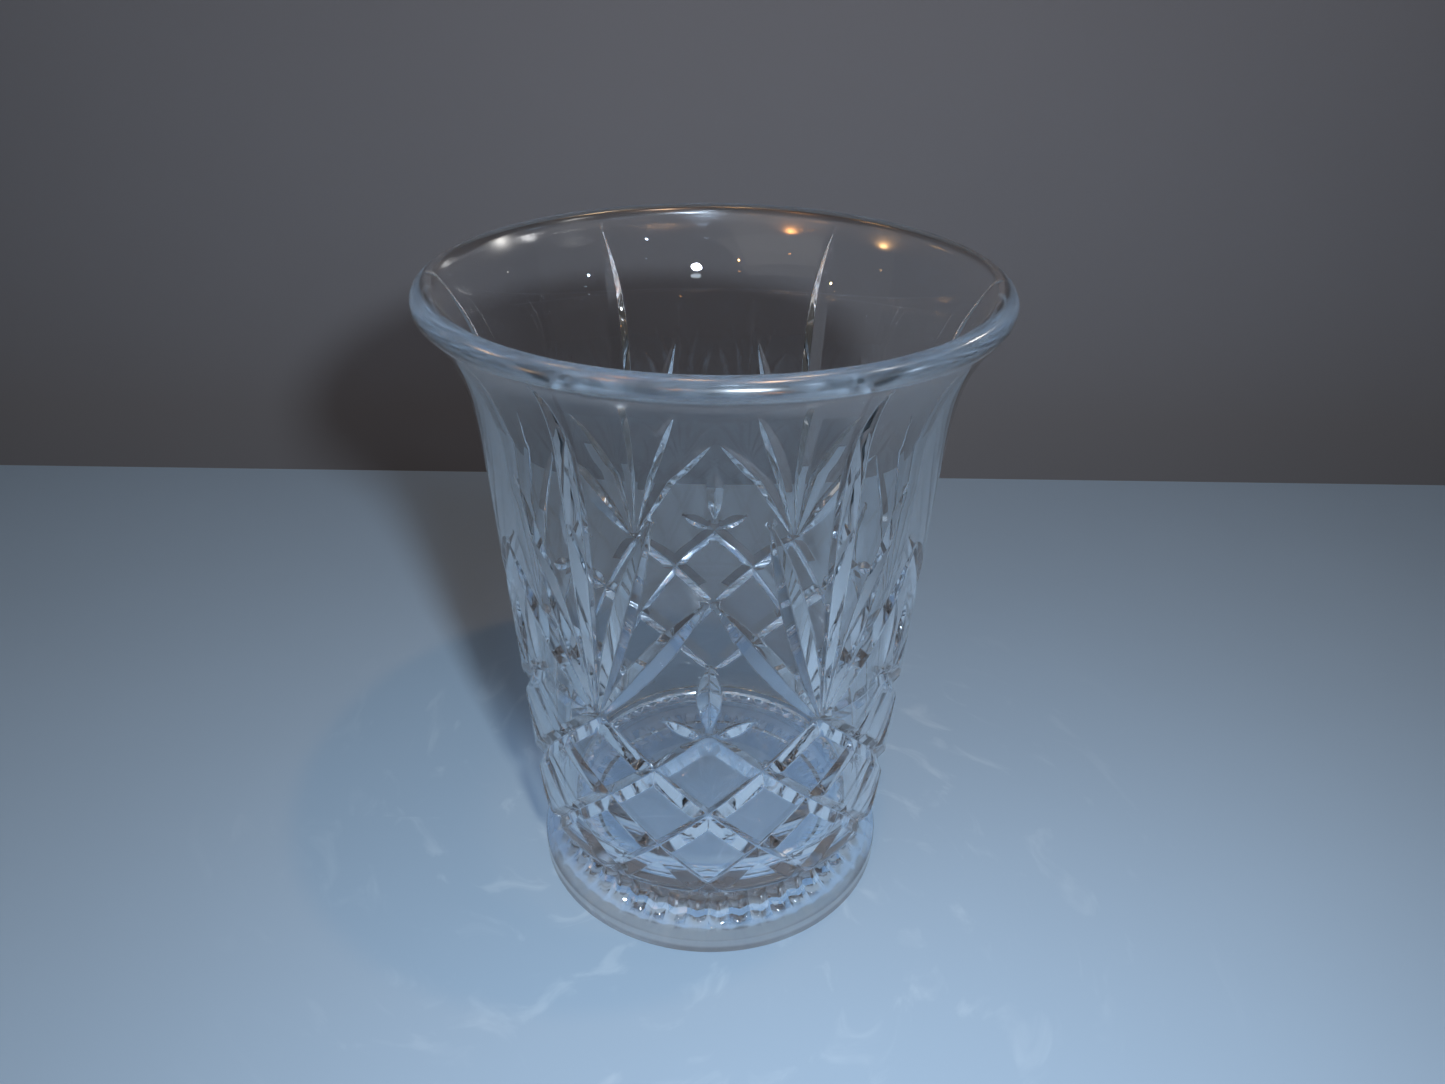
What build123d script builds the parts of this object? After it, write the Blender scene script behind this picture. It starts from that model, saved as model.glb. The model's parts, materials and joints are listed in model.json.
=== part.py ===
from build123d import *
from math import sin, cos, tan, pi, radians, hypot, atan2
import os

# Cut crystal vase: a flared, footed glass cylinder with mitre-cut fans,
# small leaves and a diamond lattice.  Millimetres, +Z up, the origin on the
# axis at the underside of the foot, the front (-Y) on a small leaf.

# ---------------------------------------------------------------- dimensions
HEIGHT = 254.0              # overall height
RIM_R = 101.8               # outermost radius of the lip
LIP_R = 4.5                 # radius of the rounded lip
BODY_TOP_R = 83.4           # body radius where the flare starts
BODY_TOP_Z = 192.0
BODY_LOW_R = 73.5           # body radius above the rounded lower edge
BODY_LOW_Z = 38.0
LOW_EDGE_R = 10.0           # rounding of the body's lower edge
FLARE_R, FLARE_Z = 86.6, 217.5   # where the flare tightens
WALL = 7.0                  # wall thickness below the flare
FLOOR_Z = 29.5              # height of the cavity floor
FLOOR_R = 48.0              # flat part of the cavity floor
NECK_R = 62.0               # neck between body and foot
JOIN_Z = 24.5               # plane where the foot meets the bowl

FOOT_R = 73.6               # foot radius
FOOT_BAND = 6.6             # height of the foot's plain upright band
FOOT_STEP_R, FOOT_STEP_Z = 70.4, 10.6   # top of the sloping ring
RECESS_R, RECESS_D = 55.0, 2.0          # shallow recess under the foot
FLUTES = 48                 # flutes round the foot

SECTORS = 6                 # fans round the vase, and leaf trios between them
NODE_Z = 113.8              # lattice points on which fans and leaves stand
ROW = 19.75                 # height of one lattice row
ROWS = 4
CUT_DEPTH = 2.9             # depth of the lattice grooves
CUT_SLOPE = 1.45            # half width of a groove over its depth
CLEAR = 2.2                 # how far each cutter stands out of the glass

# ------------------------------------------------------------- outer profile
A0 = atan2(BODY_TOP_R - BODY_LOW_R, BODY_TOP_Z - BODY_LOW_Z)   # body's slope
A1 = 2 * atan2(FLARE_R - BODY_TOP_R, FLARE_Z - BODY_TOP_Z) - A0
LIP_C = (RIM_R - LIP_R, HEIGHT - LIP_R)                        # lip centre
A2 = A1
for _ in range(30):         # the flare ends tangent to the lip
    LIP_OUT = (LIP_C[0] + LIP_R * cos(A2), LIP_C[1] - LIP_R * sin(A2))
    A2 = 2 * atan2(LIP_OUT[0] - FLARE_R, LIP_OUT[1] - FLARE_Z) - A1


def arc_r(z, r0, z0, a0, r1, z1):
    """Radius at height z on the arc that leaves (r0, z0) at slope a0."""
    half = atan2(r1 - r0, z1 - z0) - a0
    rad = hypot(r1 - r0, z1 - z0) / (2 * sin(half))
    s = sin(a0) + (z - z0) / rad
    return r0 + rad * (cos(a0) - (1 - s * s) ** 0.5)


def outer(z):
    """Outer radius of the body at height z, its cone carried on downwards."""
    if z <= BODY_TOP_Z:
        return BODY_LOW_R + (z - BODY_LOW_Z) * tan(A0)
    if z <= FLARE_Z:
        return arc_r(z, BODY_TOP_R, BODY_TOP_Z, A0, FLARE_R, FLARE_Z)
    return arc_r(z, FLARE_R, FLARE_Z, A1, *LIP_OUT)


# inner profile points
IN_TOP = (BODY_TOP_R - WALL * cos(A0), BODY_TOP_Z + WALL * sin(A0))
IN_FLARE = (FLARE_R - WALL * cos(A1), FLARE_Z + WALL * sin(A1))
A3 = A2
for _ in range(30):         # the inside of the flare ends tangent to the lip
    LIP_IN = (LIP_C[0] - LIP_R * cos(A3), LIP_C[1] + LIP_R * sin(A3))
    A3 = 2 * atan2(LIP_IN[0] - IN_FLARE[0], LIP_IN[1] - IN_FLARE[1]) - A1
IN_LOW = (66.2, 46.8)


# ----------------------------------------------------------------- cutters
def section(theta, z, depth, ahead):
    """Plane and V outline of a mitre cutter at one point of its path."""
    def at(th, zz):
        r = outer(zz)
        return Vector(r * cos(th), r * sin(th), zz)
    p = at(theta, z)
    t = (at(theta + ahead[0] * 1e-3, z + ahead[1] * 1e-3) - p).normalized()
    slope = (outer(z + 0.05) - outer(z - 0.05)) / 0.1
    n = Vector(cos(theta), sin(theta), -slope).normalized()
    side = n.cross(t).normalized()
    w = (depth + CLEAR) * CUT_SLOPE
    return p, t, n, side, w


def mitre(name, start, end, depths):
    """A V-shaped cutter from start to end, both (angle, z), on the surface.

    depths lists the depth of its edge at evenly spaced points; a negative
    depth is clear of the glass, which gives a pointed end.
    """
    ahead = (radians(end[0] - start[0]), end[1] - start[1])
    last = len(depths) - 1
    with BuildPart() as cutter:
        for i, depth in enumerate(depths):
            s = i / last
            th = radians(start[0]) + ahead[0] * s
            p, t, n, side, w = section(th, start[1] + ahead[1] * s, depth, ahead)
            with BuildSketch(Plane(origin=p, x_dir=side, z_dir=t)) as v:
                # local +Y of this plane is the outward normal
                with BuildLine():
                    Polyline((-w, CLEAR), (0, -depth), (w, CLEAR), close=True)
                make_face()
        loft(ruled=True)
    cutter.part.label = name
    return cutter.part


def leaf_depths(deepest, count, peak=0.5, tail=-0.3):
    """Depths that rise from nothing to the deepest and fall to a point."""
    out = []
    for i in range(count):
        s = i / (count - 1)
        u = s / peak * 0.5 if s < peak else 0.5 + (s - peak) / (1 - peak) * 0.5
        out.append(tail + (deepest - tail) * sin(pi * u) ** 0.72)
    return out


D = CUT_DEPTH
lattice = []
for k in range(ROWS):       # one groove of each hand from every lattice point
    z0, z1 = NODE_Z - ROW * k, NODE_Z - ROW * (k + 1)
    off = 0 if k % 2 == 0 else 15
    deep = [D * 0.93, D * 1.0, D * 0.93]
    for hand in (-1, 1):
        a, b = (off, z0), (off + 15 * hand, z1)
        if k == ROWS - 1:   # the lowest run out over the rounded edge
            b = (off + 15 * hand * 1.4, z1 - ROW * 0.4)
            deep = [D * 0.93, D * 1.0, D * 0.93]
        lattice.append(mitre(f"groove_{k}_{hand}", a, b, deep))

blade_mid = mitre("blade_mid", (0, NODE_Z), (0, 247.6),
                  leaf_depths(3.1, 13, 0.66))
blades = [blade_mid]
for hand in (-1, 1):
    blades.append(mitre(f"blade_inner_{hand}", (0, NODE_Z), (17.8 * hand, 202.2),
                        leaf_depths(2.95, 9, 0.52)))
    blades.append(mitre(f"blade_outer_{hand}", (0, NODE_Z), (29.6 * hand, 172.5),
                        leaf_depths(2.95, 9, 0.55)))
leaves = [mitre("leaf_mid", (0, 117.5), (0, 147.0), leaf_depths(2.9, 7))]
for hand in (-1, 1):
    leaves.append(mitre(f"leaf_side_{hand}", (1.0 * hand, NODE_Z + 0.4),
                        (11.5 * hand, 121.4), leaf_depths(2.0, 6)))

# ------------------------------------------------------------------- the bowl
with BuildPart() as bowl:
    with BuildSketch(Plane.XZ) as bowl_section:
        with BuildLine():
            edge_c = (BODY_LOW_R - LOW_EDGE_R, BODY_LOW_Z)
            mid = (edge_c[0] + LOW_EDGE_R * cos(radians(45)),
                   edge_c[1] - LOW_EDGE_R * sin(radians(45)))
            Line((0, JOIN_Z), (NECK_R, JOIN_Z))
            Line((NECK_R, JOIN_Z), (NECK_R, BODY_LOW_Z - LOW_EDGE_R - 1.6))
            Line((NECK_R, BODY_LOW_Z - LOW_EDGE_R - 1.6),
                 (edge_c[0], BODY_LOW_Z - LOW_EDGE_R))
            ThreePointArc((edge_c[0], BODY_LOW_Z - LOW_EDGE_R), mid,
                          (BODY_LOW_R, BODY_LOW_Z))
            Line((BODY_LOW_R, BODY_LOW_Z), (BODY_TOP_R, BODY_TOP_Z))
            TangentArc((BODY_TOP_R, BODY_TOP_Z), (FLARE_R, FLARE_Z),
                       tangent=(sin(A0), cos(A0)))
            TangentArc((FLARE_R, FLARE_Z), LIP_OUT, tangent=(sin(A1), cos(A1)))
            ThreePointArc(LIP_OUT, (LIP_C[0] + LIP_R * sin(0.35),
                                    LIP_C[1] + LIP_R * cos(0.35)), LIP_IN)
            TangentArc(LIP_IN, IN_FLARE, tangent=(-sin(A3), -cos(A3)))
            TangentArc(IN_FLARE, IN_TOP, tangent=(-sin(A1), -cos(A1)))
            Line(IN_TOP, IN_LOW)
            TangentArc((FLOOR_R, FLOOR_Z), IN_LOW, tangent=(1, 0))
            Line((FLOOR_R, FLOOR_Z), (0, FLOOR_Z))
            Line((0, FLOOR_Z), (0, JOIN_Z))
        make_face()
    revolve(axis=Axis.Z)

    for k in range(ROWS):   # diamond lattice, twelve points to a row
        for groove in lattice[2 * k:2 * k + 2]:
            with PolarLocations(0, 12):
                add(groove, mode=Mode.SUBTRACT)
    for blade in blades:    # six fans of five blades
        with PolarLocations(0, SECTORS):
            add(blade, mode=Mode.SUBTRACT)
    for leaf in leaves:     # six leaf trios between the fans
        with PolarLocations(0, SECTORS, start_angle=30):
            add(leaf, mode=Mode.SUBTRACT)

# ------------------------------------------------------------------- the foot
# one flute: a V-groove that climbs the cove from the ring to the neck
FLUTE = (  # radius, height and depth of its edge, half width at its top
    (74.6, 7.6, -0.6, 3.0), (70.4, 10.6, 1.2, 5.4), (66.3, 13.2, 2.3, 6.0),
    (63.4, 17.6, 2.5, 5.8), (61.9, 25.5, 2.2, 5.6))
with BuildPart() as flute:
    for i, (r, z, depth, half) in enumerate(FLUTE):
        lo, hi = FLUTE[max(i - 1, 0)], FLUTE[min(i + 1, len(FLUTE) - 1)]
        along = Vector(hi[0] - lo[0], 0, hi[1] - lo[1]).normalized()
        with BuildSketch(Plane(origin=(r, 0, z), x_dir=(0, 1, 0),
                               z_dir=along)) as v:
            up = v.workplanes[0].y_dir.Z
            up = 1 if up > 0 else -1
            with BuildLine():
                Polyline((-half, 1.6 * up), (0, -depth * up), (half, 1.6 * up),
                         close=True)
            make_face()
    loft(ruled=True)

with BuildPart() as foot:
    with BuildSketch(Plane.XZ) as foot_section:
        with BuildLine():
            Polyline((0, RECESS_D), (RECESS_R - 3, RECESS_D), (RECESS_R, 0),
                     (FOOT_R - 0.8, 0), (FOOT_R, 0.8), (FOOT_R, FOOT_BAND),
                     (FOOT_STEP_R, FOOT_STEP_Z))
            TangentArc((NECK_R, JOIN_Z), (FOOT_STEP_R, FOOT_STEP_Z),
                       tangent=(0.1, -0.995))
            Polyline((NECK_R, JOIN_Z), (0, JOIN_Z), (0, RECESS_D))
        make_face()
    revolve(axis=Axis.Z)
    with PolarLocations(0, FLUTES):
        add(flute.part, mode=Mode.SUBTRACT)

bowl.part.label = "bowl"
foot.part.label = "foot"

os.makedirs("parts", exist_ok=True)
for piece in (bowl, foot):
    export_step(piece.part, "parts/" + piece.part.label + ".step")
    size = piece.part.bounding_box().size
    print(piece.part.label, "solids", len(piece.part.solids()),
          "volume cm3", round(piece.part.volume / 1000, 1),
          "valid", piece.part.is_valid,
          "size", round(size.X, 2), round(size.Y, 2), round(size.Z, 2))
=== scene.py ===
import bpy, json, math
import numpy as np
from mathutils import Vector, Matrix
from mathutils.geometry import delaunay_2d_cdt
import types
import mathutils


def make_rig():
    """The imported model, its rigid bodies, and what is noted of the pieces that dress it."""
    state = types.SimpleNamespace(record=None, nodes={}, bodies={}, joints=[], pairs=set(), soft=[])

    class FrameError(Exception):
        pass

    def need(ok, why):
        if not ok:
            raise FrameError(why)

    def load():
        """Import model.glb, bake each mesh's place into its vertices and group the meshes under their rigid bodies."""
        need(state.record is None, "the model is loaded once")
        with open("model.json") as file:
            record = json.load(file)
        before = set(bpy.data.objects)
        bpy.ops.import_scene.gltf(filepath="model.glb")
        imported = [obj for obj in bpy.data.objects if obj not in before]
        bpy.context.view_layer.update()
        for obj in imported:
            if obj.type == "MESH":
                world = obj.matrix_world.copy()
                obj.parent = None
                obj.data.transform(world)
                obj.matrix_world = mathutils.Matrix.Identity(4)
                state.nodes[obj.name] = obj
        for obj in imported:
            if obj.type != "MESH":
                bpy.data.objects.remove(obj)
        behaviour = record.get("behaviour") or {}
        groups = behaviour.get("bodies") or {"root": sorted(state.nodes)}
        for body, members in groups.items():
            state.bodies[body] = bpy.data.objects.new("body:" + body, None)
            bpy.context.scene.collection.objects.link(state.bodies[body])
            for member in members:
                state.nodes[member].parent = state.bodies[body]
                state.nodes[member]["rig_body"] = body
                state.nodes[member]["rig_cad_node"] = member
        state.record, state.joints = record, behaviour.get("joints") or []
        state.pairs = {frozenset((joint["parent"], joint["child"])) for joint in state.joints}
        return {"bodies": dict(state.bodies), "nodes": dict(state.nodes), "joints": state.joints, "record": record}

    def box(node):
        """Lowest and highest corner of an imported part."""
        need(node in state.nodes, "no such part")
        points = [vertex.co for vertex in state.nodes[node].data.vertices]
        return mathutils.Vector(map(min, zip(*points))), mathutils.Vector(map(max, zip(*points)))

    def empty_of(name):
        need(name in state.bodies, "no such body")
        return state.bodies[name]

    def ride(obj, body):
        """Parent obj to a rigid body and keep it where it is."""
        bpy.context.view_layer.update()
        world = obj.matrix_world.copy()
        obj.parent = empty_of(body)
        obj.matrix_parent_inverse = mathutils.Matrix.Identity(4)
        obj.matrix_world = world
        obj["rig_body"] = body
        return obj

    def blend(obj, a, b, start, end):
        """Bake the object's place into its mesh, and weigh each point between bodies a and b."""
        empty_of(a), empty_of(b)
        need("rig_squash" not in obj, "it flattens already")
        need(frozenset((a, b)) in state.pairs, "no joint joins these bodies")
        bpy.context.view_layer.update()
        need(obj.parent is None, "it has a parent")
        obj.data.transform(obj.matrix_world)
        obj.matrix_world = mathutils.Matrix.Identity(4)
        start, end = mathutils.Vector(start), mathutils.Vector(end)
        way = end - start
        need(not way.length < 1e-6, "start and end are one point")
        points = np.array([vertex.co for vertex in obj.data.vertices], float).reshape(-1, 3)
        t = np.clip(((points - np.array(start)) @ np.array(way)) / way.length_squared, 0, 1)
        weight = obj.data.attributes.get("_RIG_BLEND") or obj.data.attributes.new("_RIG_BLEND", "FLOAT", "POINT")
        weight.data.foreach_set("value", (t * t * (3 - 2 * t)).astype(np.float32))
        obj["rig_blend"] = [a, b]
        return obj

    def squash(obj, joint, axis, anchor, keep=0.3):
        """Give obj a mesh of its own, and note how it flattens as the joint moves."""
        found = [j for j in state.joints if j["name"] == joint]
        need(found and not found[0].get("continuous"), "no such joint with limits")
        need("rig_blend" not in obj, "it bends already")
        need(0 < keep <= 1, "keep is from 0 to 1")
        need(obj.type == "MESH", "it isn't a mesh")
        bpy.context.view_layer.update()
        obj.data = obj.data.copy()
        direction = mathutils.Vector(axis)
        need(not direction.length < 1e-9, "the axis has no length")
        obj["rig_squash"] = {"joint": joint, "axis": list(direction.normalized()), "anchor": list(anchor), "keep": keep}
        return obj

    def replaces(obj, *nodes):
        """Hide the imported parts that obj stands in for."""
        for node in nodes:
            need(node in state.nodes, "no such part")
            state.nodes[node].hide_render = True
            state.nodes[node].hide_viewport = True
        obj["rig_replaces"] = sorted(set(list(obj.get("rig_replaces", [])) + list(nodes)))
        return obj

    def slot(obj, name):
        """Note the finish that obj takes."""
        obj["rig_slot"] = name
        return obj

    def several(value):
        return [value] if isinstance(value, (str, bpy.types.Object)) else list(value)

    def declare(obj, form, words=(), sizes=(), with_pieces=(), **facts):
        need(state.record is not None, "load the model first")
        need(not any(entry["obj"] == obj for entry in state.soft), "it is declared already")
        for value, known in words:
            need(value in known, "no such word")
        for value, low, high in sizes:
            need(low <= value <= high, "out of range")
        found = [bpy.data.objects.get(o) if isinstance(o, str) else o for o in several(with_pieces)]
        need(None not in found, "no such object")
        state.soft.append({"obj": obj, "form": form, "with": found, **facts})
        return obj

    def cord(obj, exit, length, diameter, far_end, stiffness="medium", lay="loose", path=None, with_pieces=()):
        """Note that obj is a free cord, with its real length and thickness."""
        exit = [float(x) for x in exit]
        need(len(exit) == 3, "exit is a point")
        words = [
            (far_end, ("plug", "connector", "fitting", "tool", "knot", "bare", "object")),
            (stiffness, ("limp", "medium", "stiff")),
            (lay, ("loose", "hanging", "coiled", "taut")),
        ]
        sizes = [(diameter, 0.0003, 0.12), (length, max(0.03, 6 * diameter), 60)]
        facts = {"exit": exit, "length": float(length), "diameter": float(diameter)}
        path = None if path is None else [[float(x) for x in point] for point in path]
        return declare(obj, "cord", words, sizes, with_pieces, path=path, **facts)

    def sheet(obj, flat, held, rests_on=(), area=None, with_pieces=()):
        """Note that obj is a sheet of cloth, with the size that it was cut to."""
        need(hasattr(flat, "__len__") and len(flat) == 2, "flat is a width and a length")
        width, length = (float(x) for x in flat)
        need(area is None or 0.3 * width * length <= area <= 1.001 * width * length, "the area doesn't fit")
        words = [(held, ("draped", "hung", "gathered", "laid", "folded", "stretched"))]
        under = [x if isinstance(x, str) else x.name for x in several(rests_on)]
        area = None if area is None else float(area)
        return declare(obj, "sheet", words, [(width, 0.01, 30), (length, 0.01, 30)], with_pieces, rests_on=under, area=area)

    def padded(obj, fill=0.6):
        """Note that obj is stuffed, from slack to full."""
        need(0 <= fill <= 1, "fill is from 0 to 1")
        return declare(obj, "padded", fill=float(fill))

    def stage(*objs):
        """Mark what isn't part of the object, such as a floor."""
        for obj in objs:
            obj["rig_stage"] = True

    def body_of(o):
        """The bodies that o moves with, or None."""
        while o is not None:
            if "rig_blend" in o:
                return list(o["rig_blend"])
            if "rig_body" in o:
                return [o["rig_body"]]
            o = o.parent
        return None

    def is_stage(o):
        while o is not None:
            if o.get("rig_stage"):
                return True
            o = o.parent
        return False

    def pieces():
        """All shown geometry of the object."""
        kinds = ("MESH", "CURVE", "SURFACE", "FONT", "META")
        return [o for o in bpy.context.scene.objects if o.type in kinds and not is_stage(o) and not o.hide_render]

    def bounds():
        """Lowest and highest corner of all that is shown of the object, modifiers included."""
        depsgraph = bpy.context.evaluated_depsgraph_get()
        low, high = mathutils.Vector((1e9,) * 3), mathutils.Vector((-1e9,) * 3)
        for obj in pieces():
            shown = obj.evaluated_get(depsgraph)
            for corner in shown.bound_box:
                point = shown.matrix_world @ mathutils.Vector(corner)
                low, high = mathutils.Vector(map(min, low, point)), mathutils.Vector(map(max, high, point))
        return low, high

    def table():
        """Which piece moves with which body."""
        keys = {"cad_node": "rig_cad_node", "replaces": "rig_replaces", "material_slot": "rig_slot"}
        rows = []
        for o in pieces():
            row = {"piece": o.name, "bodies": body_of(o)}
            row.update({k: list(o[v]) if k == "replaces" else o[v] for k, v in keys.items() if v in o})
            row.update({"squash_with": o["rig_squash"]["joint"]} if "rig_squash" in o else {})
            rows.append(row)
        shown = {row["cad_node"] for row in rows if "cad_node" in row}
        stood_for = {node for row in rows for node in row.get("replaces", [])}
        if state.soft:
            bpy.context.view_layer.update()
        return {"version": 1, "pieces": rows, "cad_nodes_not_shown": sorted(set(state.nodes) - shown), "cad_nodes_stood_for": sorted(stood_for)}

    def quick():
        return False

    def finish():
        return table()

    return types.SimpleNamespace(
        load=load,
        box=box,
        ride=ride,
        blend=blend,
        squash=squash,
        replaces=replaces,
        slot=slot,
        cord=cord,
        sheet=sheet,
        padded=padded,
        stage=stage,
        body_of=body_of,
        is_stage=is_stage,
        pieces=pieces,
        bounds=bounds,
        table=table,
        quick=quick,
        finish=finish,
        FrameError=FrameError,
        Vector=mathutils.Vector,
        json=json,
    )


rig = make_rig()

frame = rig.load()
CAD_BOX = [[float(c) for c in v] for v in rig.bounds()]
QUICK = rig.quick() if hasattr(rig, "quick") else False

# Cut crystal vase.  Lengths below are millimetres in the CAD frame; meshes
# are scaled to metres when they are made.
HEIGHT = 254.0
LIP_C, LIP_R = (97.3, 249.5), 4.5
A0, A1, A2, A3 = 0.064197, 0.185478, 0.717949, 0.604963
BODY_LOW, BODY_TOP, FLARE = (73.5, 38.0), (83.4, 192.0), (86.6, 217.5)
LIP_OUT = (LIP_C[0] + LIP_R * math.cos(A2), LIP_C[1] - LIP_R * math.sin(A2))
LIP_IN = (LIP_C[0] - LIP_R * math.cos(A3), LIP_C[1] + LIP_R * math.sin(A3))
IN_TOP = (76.414, 192.449)
IN_FLARE = (79.720, 218.791)
IN_LOW, FLOOR = (66.2, 46.8), (48.0, 29.5)
NECK_R, JOIN_Z = 62.0, 24.5
FOOT_R, FOOT_BAND, FOOT_STEP = 73.6, 6.6, (70.4, 10.6)
RECESS_R, RECESS_D = 55.0, 2.0
FLUTES = 48
NODE_Z, ROW = 113.8, 19.75
SLOPE = 1.45             # half width of a groove over its depth
COLS = 288               # columns round the plain surfaces of revolution


# ------------------------------------------------------------ profile tables
class Profile:
    """A meridian curve: radius, height and outward normal by arc length."""

    def __init__(self):
        self.t, self.r, self.z, self.a, self.b = [], [], [], [], []

    def _put(self, r, z, nr, nz):
        if self.t:
            d = math.hypot(r - self.r[-1], z - self.z[-1])
            t = self.t[-1] + max(d, 1e-4)
        else:
            t = 0.0
        self.t.append(t); self.r.append(r); self.z.append(z)
        self.a.append(nr); self.b.append(nz)

    def line(self, p, q, step=0.5):
        L = math.hypot(q[0] - p[0], q[1] - p[1])
        nr, nz = (q[1] - p[1]) / L, -(q[0] - p[0]) / L
        n = max(2, int(L / step) + 1)
        for i in range(n + 1):
            u = i / n
            self._put(p[0] + (q[0] - p[0]) * u, p[1] + (q[1] - p[1]) * u, nr, nz)
        return self

    def slope_arc(self, p, q, a0, step=0.25):
        """Arc from p to q that leaves p at slope a0 from the vertical, upwards."""
        half = math.atan2(q[0] - p[0], q[1] - p[1]) - a0
        rad = math.hypot(q[0] - p[0], q[1] - p[1]) / (2 * math.sin(half))
        n = max(3, int(abs(2 * half * rad) / step) + 1)
        for i in range(n + 1):
            a = a0 + 2 * half * i / n
            self._put(p[0] + rad * (math.cos(a0) - math.cos(a)),
                      p[1] + rad * (math.sin(a) - math.sin(a0)),
                      math.cos(a), -math.sin(a))
        return self

    def round(self, c, rad, g0, g1, step=0.15):
        n = max(3, int(abs(g1 - g0) * rad / step) + 1)
        for i in range(n + 1):
            g = g0 + (g1 - g0) * i / n
            self._put(c[0] + rad * math.cos(g), c[1] + rad * math.sin(g),
                      math.cos(g), math.sin(g))
        return self

    def done(self):
        for k in "trzab":
            setattr(self, k, np.array(getattr(self, k)))
        self.L = float(self.t[-1])
        return self

    def at(self, t):
        r, z = np.interp(t, self.t, self.r), np.interp(t, self.t, self.z)
        a, b = np.interp(t, self.t, self.a), np.interp(t, self.t, self.b)
        n = np.sqrt(a * a + b * b)
        return r, z, a / n, b / n


OUT = Profile()
OUT.line((NECK_R, JOIN_Z), (NECK_R, 26.4)).line((NECK_R, 26.4), (63.5, 28.0))
OUT.round((63.5, 38.0), 10.0, -math.pi / 2, 0.0)
OUT.line(BODY_LOW, BODY_TOP).slope_arc(BODY_TOP, FLARE, A0)
OUT.slope_arc(FLARE, LIP_OUT, A1).round(LIP_C, LIP_R, -A2, math.pi / 2)
OUT.done()
T_OF_Z = lambda z: np.interp(z, OUT.z, OUT.t)
CUT_L = float(T_OF_Z(248.6))     # the cuts end below this; the rest of the lip is plain

# ------------------------------------------------------- the pattern of cuts
# Angles in degrees from the middle of a leaf trio; the fans stand at 30.
RAD = math.pi / 180


def leafy(s, deepest, peak=0.5, tail=-0.3):
    sc = np.clip(s, 0.0, 1.0)
    u = np.where(sc < peak, sc / peak * 0.5, 0.5 + (sc - peak) / (1 - peak) * 0.5)
    d = tail + (deepest - tail) * np.sin(np.pi * np.clip(u, 0, 1)) ** 0.72
    over = np.abs(s - sc)
    return d - 40.0 * over


GROOVES = []             # (phi at z0, z0, phi at z1, z1, kind, depth, peak)
for m in range(-3, 5):
    for hand in (-1, 1):
        z1 = 20.0
        GROOVES.append((30.0 * m, NODE_Z, 30.0 * m + hand * 15.0 * (NODE_Z - z1) / ROW,
                        z1, "lattice", 2.85, 0))
for m in (-30, 30, 90):
    GROOVES.append((m, NODE_Z, m, 247.6, "blade", 3.15, 0.66))
    for hand in (-1, 1):
        GROOVES.append((m, NODE_Z, m + hand * 17.8, 202.2, "blade", 3.0, 0.52))
        GROOVES.append((m, NODE_Z, m + hand * 29.6, 172.5, "blade", 3.0, 0.55))
GROOVES.append((0, 117.5, 0, 147.0, "blade", 2.9, 0.5))
for hand in (-1, 1):
    GROOVES.append((1.0 * hand, NODE_Z + 0.4, 11.5 * hand, 121.4, "blade", 2.0, 0.5))


def reaches(g):
    lo, hi = min(g[0], g[2]) - 5, max(g[0], g[2]) + 5
    return hi > 0 and lo < 30


GROOVES = [g for g in GROOVES if reaches(g)]
NG = len(GROOVES)


def drop(z, r):
    """How far the rounded lower edge lies inside the body's cone."""
    cone = BODY_LOW[0] + (z - BODY_LOW[1]) * math.tan(A0)
    return np.where(z < BODY_LOW[1], np.maximum(cone - r, 0), 0.0)


def field(i, phi, t):
    """Signed depth of groove i at (phi degrees, t), and the side of its edge."""
    p0, z0, p1, z1, kind, deep, peak = GROOVES[i]
    r, z, _, _ = OUT.at(t)
    k = (p1 - p0) / (z1 - z0)
    line = p0 + k * (z - z0)
    dx = (phi - line) * RAD * r
    tana = k * RAD * r * math.cos(A0)
    cosa = 1 / np.sqrt(1 + tana * tana)
    dist = dx * cosa
    if kind == "lattice":
        f = np.clip((z - 110.0) / 7.5, 0, None)
        d = deep * (1 - f * f) - drop(z, r) * 0.8
    else:
        along = z + dx * tana * cosa * cosa * (1.0 if z1 > z0 else -1.0)
        d = leafy((along - z0) / (z1 - z0), deep, peak)
    return d - np.abs(dist) / SLOPE, np.where(dist >= 0, 1, -1)


def label(phi, t):
    """0 for the uncut surface, else 2 i + 1 or 2 i + 2 by groove and side."""
    best = np.zeros_like(phi)
    lab = np.zeros(phi.shape, int)
    for i in range(NG):
        f, s = field(i, phi, t)
        win = f > best
        best = np.where(win, f, best)
        lab = np.where(win, 2 * i + 1 + (s > 0), lab)
    return lab, best


def side_depth(lab, phi, t):
    """Depth at a point by the plane of one given label, not the deepest."""
    if lab == 0:
        return np.zeros_like(phi)
    i, s = (lab - 1) // 2, (1 if (lab - 1) % 2 else -1)
    p0, z0, p1, z1, kind, deep, peak = GROOVES[i]
    f, side = field(i, phi, t)
    # carry the plane of this side across the edge
    r, z, _, _ = OUT.at(t)
    k = (p1 - p0) / (z1 - z0)
    dx = (phi - (p0 + k * (z - z0))) * RAD * r
    tana = k * RAD * r * math.cos(A0)
    dist = dx / np.sqrt(1 + tana * tana)
    return f + np.abs(dist) / SLOPE - s * dist / SLOPE


def surface(phi, t, h):
    r, z, a, b = OUT.at(t)
    rr, zz = r - h * a, z - h * b
    return np.stack([rr * np.sin(phi * RAD), -rr * np.cos(phi * RAD), zz], -1)


# ------------------------------------------- crease points of a half sector
PHI_MM = 80 * RAD        # the flat scale: 1 degree is 1.396 mm at r = 80


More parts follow.
